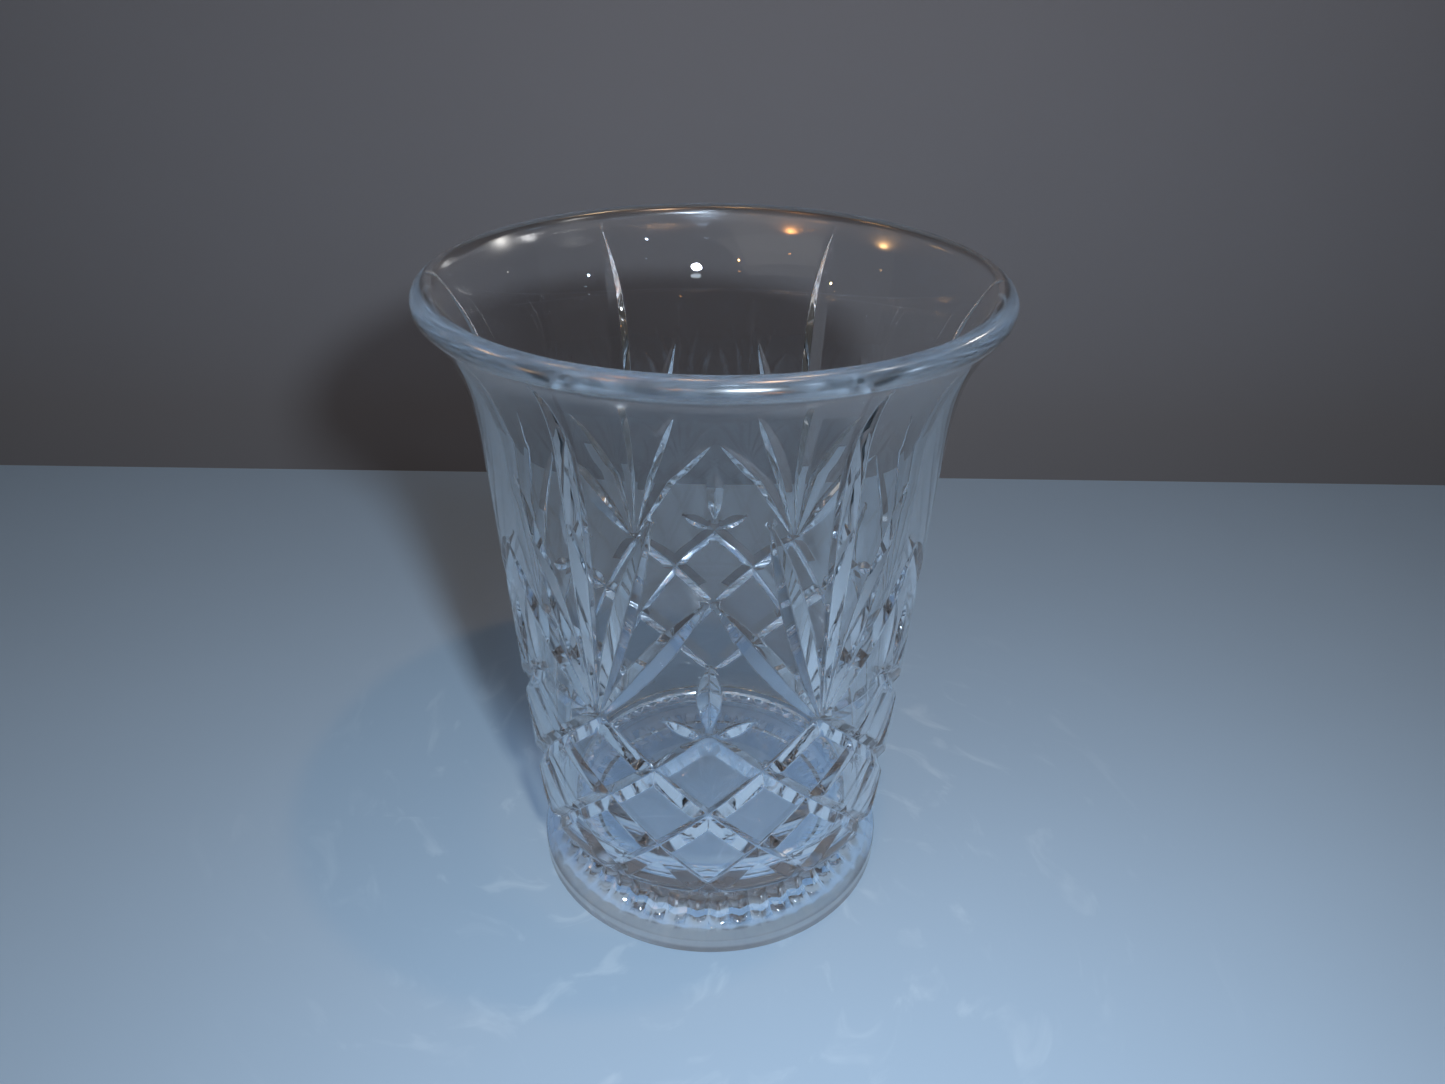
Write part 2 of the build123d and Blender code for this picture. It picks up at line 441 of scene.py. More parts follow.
def creases(step):
    """Points on every line where the label changes, by scanning both ways."""
    found = []
    for way in (0, 1):
        if way == 0:
            fixed = np.arange(step / 2, CUT_L, step)
            run = np.linspace(0, 30, 481)
        else:
            fixed = np.arange(step / 2, 30 * PHI_MM, step) / PHI_MM
            run = np.arange(0, CUT_L, 0.09)
        F, R = np.meshgrid(fixed, run, indexing="ij")
        ph, tt = (R, F) if way == 0 else (F, R)
        lab, _ = label(ph, tt)
        ii, jj = np.nonzero(lab[:, 1:] != lab[:, :-1])
        la, lb = lab[ii, jj], lab[ii, jj + 1]
        lo, hi = run[jj].copy(), run[jj + 1].copy()
        fx = fixed[ii]
        for _ in range(14):
            mid = (lo + hi) / 2
            ph, tt = (mid, fx) if way == 0 else (fx, mid)
            lm, _ = label(ph, tt)
            left = lm == la
            lo = np.where(left, mid, lo)
            hi = np.where(left, hi, mid)
        mid = (lo + hi) / 2
        ph, tt = (mid, fx) if way == 0 else (fx, mid)
        kind = np.where((la == 0) | (lb == 0), 2,
                        np.where((la - 1) // 2 == (lb - 1) // 2, 0, 1))
        found.append(np.stack([ph, tt, kind, np.minimum(la, lb), np.maximum(la, lb)], -1))
    return np.concatenate(found)


class Thin:
    """Keeps points that are not nearer than a gap (flat mm) to one kept before."""

    def __init__(self):
        self.cell, self.out = {}, []

    def near(self, x, y, g):
        cx, cy = int(math.floor(x)), int(math.floor(y))
        for i in (-1, 0, 1):
            for j in (-1, 0, 1):
                for (u, v) in self.cell.get((cx + i, cy + j), ()):
                    if (u - x) ** 2 + (v - y) ** 2 < g * g:
                        return True
        return False

    def put(self, x, y, g=0.0):
        if g and self.near(x, y, g):
            return -1
        self.cell.setdefault((int(math.floor(x)), int(math.floor(y))), []).append((x, y))
        self.out.append((x, y))
        return len(self.out) - 1


def half_sector():
    step = 1.7 if QUICK else 1.0
    band = 0.36                                  # half width of a polished edge
    W = 30 * PHI_MM
    P = Thin()
    for i in range(25):                          # bottom and top edges
        P.put(i * W / 24, 0.0); P.put(i * W / 24, CUT_L)
    n = int(CUT_L / step)
    edge_t = [CUT_L * i / n for i in range(1, n)]
    for t in edge_t:
        P.put(0.0, t); P.put(W, t)
    for k in (1, 3):
        P.put(W / 2, float(T_OF_Z(NODE_Z - k * ROW)))
    C = creases(step)
    C = C[np.argsort(C[:, 2], kind="stable")]    # valleys, ridges, shoulders
    X = C[:, 0] * PHI_MM
    ok = (X > 0.3) & (X < W - 0.3) & (C[:, 1] > 0.4) & (C[:, 1] < CUT_L - 0.4)
    C, X = C[ok], X[ok]
    got = np.array([P.put(x, t, 0.62) for x, t in zip(X, C[:, 1])])
    C, X, got = C[got >= 0], X[got >= 0], got[got >= 0]
    # edges along every crease, and a row of points on each side of it
    edges, side = [], []
    for la, lb in sorted(set(map(tuple, C[:, 3:5].astype(int)))):
        sel = np.nonzero((C[:, 3] == la) & (C[:, 4] == lb))[0]
        xy = np.stack([X[sel], C[sel, 1]], -1)
        if len(sel) > 1:
            d = xy - xy.mean(0)
            w_, v_ = np.linalg.eigh(d.T @ d)
            order = np.argsort(d @ v_[:, -1])
            for p, q in zip(order[:-1], order[1:]):
                if np.hypot(*(xy[p] - xy[q])) < step * 1.7:
                    edges.append((int(got[sel[p]]), int(got[sel[q]])))
        e = 0.02
        g = lambda x, t: side_depth(la, x / PHI_MM, t) - side_depth(lb, x / PHI_MM, t)
        gx = g(xy[:, 0] + e, xy[:, 1]) - g(xy[:, 0] - e, xy[:, 1])
        gt = g(xy[:, 0], xy[:, 1] + e) - g(xy[:, 0], xy[:, 1] - e)
        m = np.maximum(np.hypot(gx, gt), 1e-12)
        for k in range(len(sel)):
            for sg in (-band, band):
                side.append((xy[k, 0] + sg * gx[k] / m[k], xy[k, 1] + sg * gt[k] / m[k]))
    for t in edge_t:                             # valleys on the mirror lines
        for x, q in ((0.0, band), (W, W - band)):
            if label(np.array([abs(x - 1e-3) / PHI_MM]), np.array([t]))[0][0]:
                side.append((q, t))
    for x, t in side:
        if 0.25 < x < W - 0.25 and 0.3 < t < CUT_L - 0.3:
            P.put(x, t, 0.27)
    # uncut surface and facets: a staggered grid, kept clear of the creases
    pitch = 3.4 if QUICK else 2.3
    j = 0
    t = pitch * 0.8
    while t < CUT_L - 0.45:
        z = float(np.interp(t, OUT.t, OUT.z))
        fine = 0.62 if (z < 40 or z > 218) else 0.87
        if z > 244:
            fine = 0.3
        x = pitch * (0.5 if j % 2 else 1.0)
        while x < W - 0.7:
            P.put(x, t, 0.95 if fine > 0.5 else 0.5)
            x += pitch
        t += pitch * fine
        j += 1
    V, E, F, _, _, _ = delaunay_2d_cdt([Vector(p) for p in P.out], edges, [], 0, 1e-5, False)
    V = np.array([(v[0], v[1]) for v in V])
    T = np.array([(f[0], f[i], f[i + 1]) for f in F for i in range(1, len(f) - 1)])
    a, b, c = V[T[:, 0]], V[T[:, 1]], V[T[:, 2]]
    area = (b[:, 0] - a[:, 0]) * (c[:, 1] - a[:, 1]) - (b[:, 1] - a[:, 1]) * (c[:, 0] - a[:, 0])
    T, area = T[np.abs(area) > 1e-7], area[np.abs(area) > 1e-7]
    T[area < 0] = T[area < 0][:, ::-1]
    phi, t = V[:, 0] / PHI_MM, V[:, 1]
    _, h = label(phi, t)
    pos = surface(phi, t, h)
    cen = V[T].mean(1)
    lab, _ = label(cen[:, 0] / PHI_MM, cen[:, 1])
    # normals at each corner, from the surface that its own face lies on
    nrm = np.zeros((len(T), 3, 3))
    many = {}
    for L in np.unique(lab):
        sel = np.nonzero(lab == L)[0]
        idx = T[sel].reshape(-1)
        p, tt = phi[idx], t[idx]
        if L == 0:
            _, _, A, B = OUT.at(tt)
            n = np.stack([A * np.sin(p * RAD), -A * np.cos(p * RAD), B], -1)
        else:
            e, de = 0.05, 0.05 / PHI_MM
            S = lambda q, u: surface(q, u, side_depth(L, q, u))
            du = S(p + de, tt) - S(p - de, tt)
            dv = S(p, tt + e) - S(p, np.maximum(tt - e, 0))
            n = np.cross(du, dv)
            n /= np.maximum(np.linalg.norm(n, axis=1, keepdims=True), 1e-12)
        nrm[sel] = n.reshape(-1, 3, 3)
        for i, q in zip(idx, n):
            many.setdefault(int(i), {})[int(L)] = q
    # polished edges: one shared normal on every crease and mirror line
    mixed = np.zeros((len(V), 3)); use = np.zeros(len(V), bool)
    wide = math.radians(30)
    for i, by in many.items():
        x = V[i, 0]
        on0, on1 = x < 1e-6, x > W - 1e-6
        cut = any(by)
        if len(by) > 1 or ((on0 or on1) and cut):
            q = sum(by.values())
            if on0:
                q = q * np.array([0.0, 1, 1])
            if on1:
                m = np.array([math.cos(wide), math.sin(wide), 0.0])
                q = q - m * q.dot(m)
            mixed[i] = q / max(np.linalg.norm(q), 1e-12)
            use[i] = True
    hit = use[T]
    nrm[hit] = mixed[T[hit]]
    print("half sector points", len(V), "triangles", len(T), "edges", len(edges))
    return pos, T, nrm, V


# -------------------------------------------------------------- mesh making
class Build:
    """Collects triangles and quads with a normal for every corner."""

    def __init__(self):
        self.v, self.f, self.n, self.m = [], [], [], []
        self.count = 0

    def add(self, verts, faces, normals, mat=0):
        base = self.count
        self.v.append(np.asarray(verts, float))
        self.count += len(verts)
        for f, nn in zip(faces, normals):
            self.f.append([int(i) + base for i in f])
            self.n.extend([tuple(map(float, q)) for q in nn])
            self.m.append(mat)

    def object(self, name, materials, weld=0.004):
        V = np.concatenate(self.v)
        key = np.round(V / weld).astype(np.int64)
        # weld: same rounded position, with a second try half a cell along
        uniq = {}
        remap = np.zeros(len(V), int)
        outv = []
        for i, k in enumerate(map(tuple, key)):
            hit = None
            for d in ((0, 0, 0), (1, 0, 0), (-1, 0, 0), (0, 1, 0), (0, -1, 0), (0, 0, 1), (0, 0, -1),
                      (1, 1, 0), (-1, -1, 0), (1, -1, 0), (-1, 1, 0)):
                q = uniq.get((k[0] + d[0], k[1] + d[1], k[2] + d[2]))
                if q is not None and np.abs(outv[q] - V[i]).max() < weld:
                    hit = q
                    break
            if hit is None:
                hit = len(outv)
                uniq[k] = hit
                outv.append(V[i])
            remap[i] = hit
        faces, norms, mats = [], [], []
        k = 0
        for f, m in zip(self.f, self.m):
            g = [int(remap[i]) for i in f]
            nn = self.n[k:k + len(f)]
            k += len(f)
            gg, gn = [], []
            for i, q in enumerate(g):
                if q != g[i - 1]:
                    gg.append(q); gn.append(nn[i])
            if len(set(gg)) == len(gg) and len(gg) >= 3:
                faces.append(gg); norms.extend(gn); mats.append(m)
        me = bpy.data.meshes.new(name)
        me.from_pydata([tuple(v * 0.001) for v in outv], [], faces)
        for mm in materials:
            me.materials.append(mm)
        me.polygons.foreach_set("material_index", mats)
        me.polygons.foreach_set("use_smooth", [True] * len(faces))
        me.update()
        me.normals_split_custom_set(norms)
        ob = bpy.data.objects.new(name, me)
        bpy.context.scene.collection.objects.link(ob)
        print(name, "verts", len(outv), "faces", len(faces),
              "tris", sum(len(f) - 2 for f in faces))
        return ob


def turned(build, prof, ts, mat=0, flip=False, cols=COLS, ang=None):
    """A surface of revolution through the profile's points at ts."""
    r, z, a, b = prof.at(np.asarray(ts, float))
    if ang is None:
        ang = np.arange(cols) * 2 * np.pi / cols
    sn, cs = np.sin(ang), np.cos(ang)
    verts, n3 = [], []
    for i in range(len(r)):
        if r[i] < 1e-6:
            verts.append([(0, 0, z[i])]); n3.append([(0, 0, b[i])])
        else:
            verts.append([(r[i] * sn[j], -r[i] * cs[j], z[i]) for j in range(cols)])
            n3.append([(a[i] * sn[j], -a[i] * cs[j], b[i]) for j in range(cols)])
    start, V, N = [], [], []
    for vv, nn in zip(verts, n3):
        start.append(len(V)); V += vv; N += nn
    F = []
    for i in range(len(r) - 1):
        A, B = start[i], start[i + 1]
        one_a, one_b = len(verts[i]) == 1, len(verts[i + 1]) == 1
        for j in range(cols):
            k = (j + 1) % cols
            if one_b:
                f = [A + j, A + k, B]
            elif one_a:
                f = [A, B + k, B + j]
            else:
                f = [A + j, A + k, B + k, B + j]
            F.append(f[::-1] if flip else f)
    sgn = -1.0 if flip else 1.0
    build.add(V, F, [[tuple(sgn * c for c in N[i]) for i in f] for f in F], mat)


def bowl_mesh(mats):
    pos, T, nrm, V2 = half_sector()
    b = Build()
    mir = np.array([-1.0, 1.0, 1.0])
    for s in range(6):
        c, sn = math.cos(s * math.pi / 3), math.sin(s * math.pi / 3)
        R = np.array([[c, -sn, 0], [sn, c, 0], [0, 0, 1.0]])
        b.add(pos @ R.T, T, nrm @ R.T)
        b.add((pos * mir) @ R.T, T[:, ::-1], (nrm * mir)[:, ::-1] @ R.T)
    # the plain top of the lip, in fine rings
    ts = list(np.linspace(CUT_L, OUT.L, 13))
    turned(b, OUT, ts)
    # rest of the lip, the inner wall and the floor: profile runs inwards
    inn = Profile()
    inn.round(LIP_C, LIP_R, math.pi / 2, math.pi - A3)
    up = Profile().slope_arc(IN_FLARE, LIP_IN, A1).done()
    for i in range(len(up.t) - 1, -1, -1):
        inn._put(up.r[i], up.z[i], -up.a[i], -up.b[i])
    up = Profile().slope_arc(IN_TOP, IN_FLARE, A0).done()
    for i in range(len(up.t) - 1, -1, -1):
        inn._put(up.r[i], up.z[i], -up.a[i], -up.b[i])
    inn.line(IN_TOP, IN_LOW)
    # corner arc tangent to the floor
    cx = FLOOR[0]
    rad = ((IN_LOW[0] - cx) ** 2 + (IN_LOW[1] - FLOOR[1]) ** 2) / (2 * (IN_LOW[1] - FLOOR[1]))
    cz = FLOOR[1] + rad
    g0 = math.atan2(IN_LOW[1] - cz, IN_LOW[0] - cx)
    n = 60
    for i in range(n + 1):
        g = g0 + (-math.pi / 2 - g0) * i / n
        inn._put(cx + rad * math.cos(g), cz + rad * math.sin(g), -math.cos(g), -math.sin(g))
    inn.line(FLOOR, (0.0, FLOOR[1]))
    inn.b[-1] = 1.0
    inn.done()
    # the line() helper makes outward normals for upward runs: fix the signs
    for i in range(len(inn.t)):
        want_in = inn.z[i] < LIP_IN[1] - 0.01
        if want_in and inn.a[i] > 1e-9:
            inn.a[i] = -inn.a[i]; inn.b[i] = -inn.b[i]
        if abs(inn.z[i] - FLOOR[1]) < 1e-6:
            inn.a[i], inn.b[i] = 0.0, 1.0
    L = inn.L
    tz = []
    t = 0.0
    while t < L:
        r, z, _, _ = inn.at(t)
        tz.append(t)
        if z > 247:
            t += 0.45
        elif z > 240:
            t += 1.2
        elif z > 190:
            t += 2.2
        elif z > 50:
            t += 6.0
        elif z > 29.6:
            t += 2.2
        else:
            t += 6.0
    tz = [x for x in tz if L - x > 2.0] + [L]
    turned(b, inn, tz, flip=False)
    # the face that meets the foot
    disc = Profile()
    disc.line((0.0, JOIN_Z), (NECK_R, JOIN_Z), 2.0)
    disc.done()
    disc.a[:] = 0; disc.b[:] = -1.0
    turned(b, disc, [0, 12, 30, 48, NECK_R], mat=1)
    return b.object("bowl_crystal", mats)


# ----------------------------------------------------------------- the foot
def cove_profile():
    """From the top of the sloping ring up the cove to the neck."""
    # arc through the neck with tangent (0.1, -0.995), ending at the step
    p, q = np.array([NECK_R, JOIN_Z]), np.array(FOOT_STEP)
    tan = np.array([0.1, -0.995]); tan /= np.linalg.norm(tan)
    nrm = np.array([-tan[1], tan[0]])            # to the right of the run: outwards
    d = q - p
    rad = d.dot(d) / (2 * d.dot(nrm))
    c = p + nrm * rad
    a0 = math.atan2(*(p - c)[::-1]); a1 = math.atan2(*(q - c)[::-1])
    if a0 < 0: a0 += 2 * math.pi
    if a1 < 0: a1 += 2 * math.pi
    return c, abs(rad), a0, a1


def foot_mesh(mats):
    c, rad, a0, a1 = cove_profile()
    b = Build()
    SUB = 8                                      # columns to one flute
    NC = FLUTES * SUB

    def columns(w):
        """Angles of eight columns to a flute: ridge, flat, shoulder, facet, valley..."""
        u = np.array([-1, -(w + 1) / 2, -w, -w / 2, 0, w / 2, w, (w + 1) / 2])
        return ((2 * np.arange(FLUTES)[:, None] + u[None]) * math.pi / FLUTES).reshape(-1)

    low, top = columns(0.06), columns(0.88)
    for p, q, mt in (((RECESS_R - 3, RECESS_D), (RECESS_R, 0.0), 2),
                     ((RECESS_R, 0.0), (FOOT_R - 0.8, 0.0), 2),
                     ((FOOT_R - 0.8, 0.0), (FOOT_R, 0.8), 0)):
        pr = Profile().line(p, q, 1.5).done()
        turned(b, pr, np.linspace(0, pr.L, 3), mat=mt, cols=NC, ang=low)
    # underside of the recess
    pr = Profile().line((0.0, RECESS_D), (RECESS_R - 3, RECESS_D), 2.0).done()
    pr.a[:] = 0; pr.b[:] = -1.0
    turned(b, pr, [0, 1.5, 6, 20, 40], cols=NC, ang=low)
    turned(b, pr, [40, RECESS_R - 3], mat=2, cols=NC, ang=low)
    prof = Profile().line((FOOT_R, 0.8), (FOOT_R, FOOT_BAND)).done()
    ring = np.array([FOOT_STEP[1] - FOOT_BAND, FOOT_R - FOOT_STEP[0]])
    ring = ring / np.linalg.norm(ring) + np.array([1.0, 0.0])
    ring /= np.linalg.norm(ring)
    prof.t = np.append(prof.t, prof.t[-1] + 1e-6)
    for k, q in (("r", prof.r[-1]), ("z", prof.z[-1]), ("a", ring[0]), ("b", ring[1])):
        setattr(prof, k, np.append(getattr(prof, k), q))
    turned(b, prof, [0, 1.5, 3.2, prof.L - 0.5, float(prof.t[-1])], cols=NC, ang=low)
    # fluted part: from the band's top edge up the cove to the neck
    path = Profile()
    path.line((FOOT_R, FOOT_BAND), FOOT_STEP, 0.2)
    steps = 80
    for i in range(1, steps + 1):
        a = a1 + (a0 - a1) * i / steps
        n = -np.array([math.cos(a), math.sin(a)])    # towards the arc's centre
        path._put(c[0] - rad * n[0], c[1] - rad * n[1], n[0], n[1])
    path.done()
    L1 = math.hypot(FOOT_R - FOOT_STEP[0], FOOT_STEP[1] - FOOT_BAND)
    L = path.L
    ts = np.array([0, 0.5, 1.8, 3.1, L1 - 0.45, L1, L1 + 0.45] + list(np.linspace(L1 + 1.0, L - 1.0, 25)) + [L])
    nring = 5
    # each flute runs out to a point on the ring and is deepest under the neck
    key_t = np.array([0, L1 - 1.2, L1, L1 + 3.0, L1 + 6.0, L1 + 10.0, L - 1.0, L])
    key_d = np.array([0, 0.0, 0.5, 1.15, 1.9, 2.5, 2.5, 0.0])
    key_w = np.array([0.06, 0.06, 0.36, 0.56, 0.74, 0.86, 0.88, 0.88])
    dep, wid = np.interp(ts, key_t, key_d), np.interp(ts, key_t, key_w)
    r, z, A, B = path.at(ts)
    A[:nring + 1], B[:nring + 1] = A[0], B[0]
    V = np.zeros((len(ts), NC, 3))
    for i in range(len(ts)):
        hp = math.pi * r[i] / FLUTES             # half a pitch
        w = wid[i] * hp
        # eight columns: ridge, flat, shoulder, facet, valley, facet, shoulder, flat
        xs = np.array([-hp, -(w + hp) / 2, -w, -w / 2, 0, w / 2, w, (w + hp) / 2])
        hgt = dep[i] * np.maximum(1 - np.abs(xs) / w, 0)
        for k in range(FLUTES):
            an = k * 2 * math.pi / FLUTES + xs / r[i]
            rr, zz = r[i] - hgt * A[i], z[i] - hgt * B[i]
            V[i, k * SUB:(k + 1) * SUB] = np.stack([rr * np.sin(an), -rr * np.cos(an), zz], -1)
    flat = V.reshape(-1, 3)
    idx = np.arange(len(ts) * NC).reshape(len(ts), NC)
    nxt = np.roll(idx, -1, axis=1)
    F = np.stack([idx[:-1], nxt[:-1], nxt[1:], idx[1:]], -1).reshape(-1, 4)
    # one normal to a face strip: smooth along the run, polished across edges
    fn = np.cross(flat[F[:, 2]] - flat[F[:, 0]], flat[F[:, 3]] - flat[F[:, 1]])
    fn /= np.maximum(np.linalg.norm(fn, axis=1, keepdims=True), 1e-12)
    fg = fn.reshape(len(ts) - 1, NC, 3)
    lo, hi = fg.copy(), fg.copy()
    for i in range(len(ts) - 1):
        if i > 0 and i not in (nring - 1, nring + 1):
            lo[i] = fg[i] + fg[i - 1]
        if i < len(ts) - 2 and i + 1 not in (nring - 1, nring + 1):
            hi[i] = fg[i] + fg[i + 1]
    th = np.arctan2(V[0, :, 0] + np.roll(V[0, :, 0], -1), -V[0, :, 1] - np.roll(V[0, :, 1], -1))
    lo[0] = np.stack([ring[0] * np.sin(th), -ring[0] * np.cos(th), np.full(NC, ring[1])], -1)
    unit = lambda q: q / np.maximum(np.linalg.norm(q, axis=-1, keepdims=True), 1e-12)
    lo, hi = unit(lo), unit(hi)
    # corners in face order: low left, low right, high right, high left; the
    # shoulder columns (2 and 6 of each flute) share one normal
    N = np.stack([lo, lo, hi, hi], 2)
    j = np.arange(NC)
    for col in (2, 6):
        m = j[j % SUB == col]
        le = m - 1                               # the face that ends on this column
        for c0, c1 in ((1, 0), (2, 3)):
            q = unit(N[:, le, c0] + N[:, m, c1])
            N[:, le, c0] = q
            N[:, m, c1] = q
    b.add(flat, F, N.reshape(-1, 4, 3))
    # the face that meets the bowl
    pr = Profile().line((0.0, JOIN_Z), (NECK_R, JOIN_Z), 2.0).done()
    pr.a[:] = 0; pr.b[:] = -1.0                  # turned over by flip
    turned(b, pr, [0, 1.5, 6, 20, 42, NECK_R], mat=1, flip=True, cols=NC, ang=top)
    return b.object("foot_crystal", mats)


# ---------------------------------------------------------------- materials
def crystal(name, tint, rough, wave, shade, lip=0.0, shade_up=None):
    m = bpy.data.materials.new(name)
    m.use_nodes = True
    nt = m.node_tree
    nt.nodes.clear()
    N, Lk = nt.nodes.new, nt.links.new
    out = N("ShaderNodeOutputMaterial")
    p = N("ShaderNodeBsdfPrincipled")
    p.inputs["Transmission Weight"].default_value = 1.0
    p.inputs["IOR"].default_value = 1.545
    p.inputs["Specular IOR Level"].default_value = 0.5
    tc = N("ShaderNodeTexCoord")
    # glass colour: nearly clear, slightly cooler where it was cut deep
    big = N("ShaderNodeTexNoise"); big.inputs["Scale"].default_value = 14
    big.inputs["Detail"].default_value = 2
    Lk(tc.outputs["Object"], big.inputs["Vector"])
    ramp = N("ShaderNodeValToRGB")
    ramp.color_ramp.elements[0].color = (*tint[0], 1)
    ramp.color_ramp.elements[1].color = (*tint[1], 1)
    ramp.color_ramp.elements[0].position = 0.3
    ramp.color_ramp.elements[1].position = 0.7
    Lk(big.outputs["Fac"], ramp.inputs["Fac"])
    Lk(ramp.outputs["Color"], p.inputs["Base Color"])
    # faint polish variation
    fine = N("ShaderNodeTexNoise"); fine.inputs["Scale"].default_value = 220
    fine.inputs["Detail"].default_value = 3
    Lk(tc.outputs["Object"], fine.inputs["Vector"])
    rr = N("ShaderNodeMapRange")
    rr.inputs["From Min"].default_value = 0.35
    rr.inputs["From Max"].default_value = 0.75
    rr.inputs["To Min"].default_value = rough[0]
    rr.inputs["To Max"].default_value = rough[1]
    Lk(fine.outputs["Fac"], rr.inputs["Value"])
    if lip:
        sep = N("ShaderNodeSeparateXYZ")
        Lk(tc.outputs["Object"], sep.inputs["Vector"])
        up = N("ShaderNodeMapRange")
        up.interpolation_type = "SMOOTHSTEP"
        up.inputs["From Min"].default_value = 0.2415
        up.inputs["From Max"].default_value = 0.2495
        up.inputs["To Min"].default_value = 0.0
        up.inputs["To Max"].default_value = lip
        Lk(sep.outputs["Z"], up.inputs["Value"])
        ad = N("ShaderNodeMath"); ad.operation = "ADD"
        Lk(up.outputs["Result"], ad.inputs[0])
        Lk(rr.outputs["Result"], ad.inputs[1])
        Lk(ad.outputs["Value"], p.inputs["Roughness"])
    else:
        Lk(rr.outputs["Result"], p.inputs["Roughness"])
    # slow unevenness left by acid polishing
    wav = N("ShaderNodeTexNoise"); wav.inputs["Scale"].default_value = 60
    wav.inputs["Detail"].default_value = 1.5
    Lk(tc.outputs["Object"], wav.inputs["Vector"])
    bump = N("ShaderNodeBump")
    bump.inputs["Strength"].default_value = 0.12
    bump.inputs["Distance"].default_value = wave
    Lk(wav.outputs["Fac"], bump.inputs["Height"])
    Lk(bump.outputs["Normal"], p.inputs["Normal"])
    lp = N("ShaderNodeLightPath")
    tr = N("ShaderNodeBsdfTransparent")
    tr.inputs["Color"].default_value = (*shade, 1)
    if shade_up:                                 # thinner light behind the tall wall
        sp = N("ShaderNodeSeparateXYZ")
        Lk(tc.outputs["Object"], sp.inputs["Vector"])
        mr = N("ShaderNodeMapRange")
        mr.interpolation_type = "SMOOTHSTEP"
        mr.inputs["From Min"].default_value = 0.075
        mr.inputs["From Max"].default_value = 0.150
        Lk(sp.outputs["Z"], mr.inputs["Value"])
        cr = N("ShaderNodeValToRGB")
        cr.color_ramp.elements[0].color = (*shade, 1)
        cr.color_ramp.elements[1].color = (*shade_up, 1)
        Lk(mr.outputs["Result"], cr.inputs["Fac"])
        Lk(cr.outputs["Color"], tr.inputs["Color"])
    mix = N("ShaderNodeMixShader")
    Lk(lp.outputs["Is Shadow Ray"], mix.inputs[0])
    Lk(p.outputs["BSDF"], mix.inputs[1])
    Lk(tr.outputs["BSDF"], mix.inputs[2])
    Lk(mix.outputs["Shader"], out.inputs["Surface"])
    return m


def join_mat():
    m = bpy.data.materials.new("glass_join")
    m.use_nodes = True
    nt = m.node_tree
    nt.nodes.clear()
    out = nt.nodes.new("ShaderNodeOutputMaterial")
    tr = nt.nodes.new("ShaderNodeBsdfTransparent")
    nt.links.new(tr.outputs["BSDF"], out.inputs["Surface"])
    return m


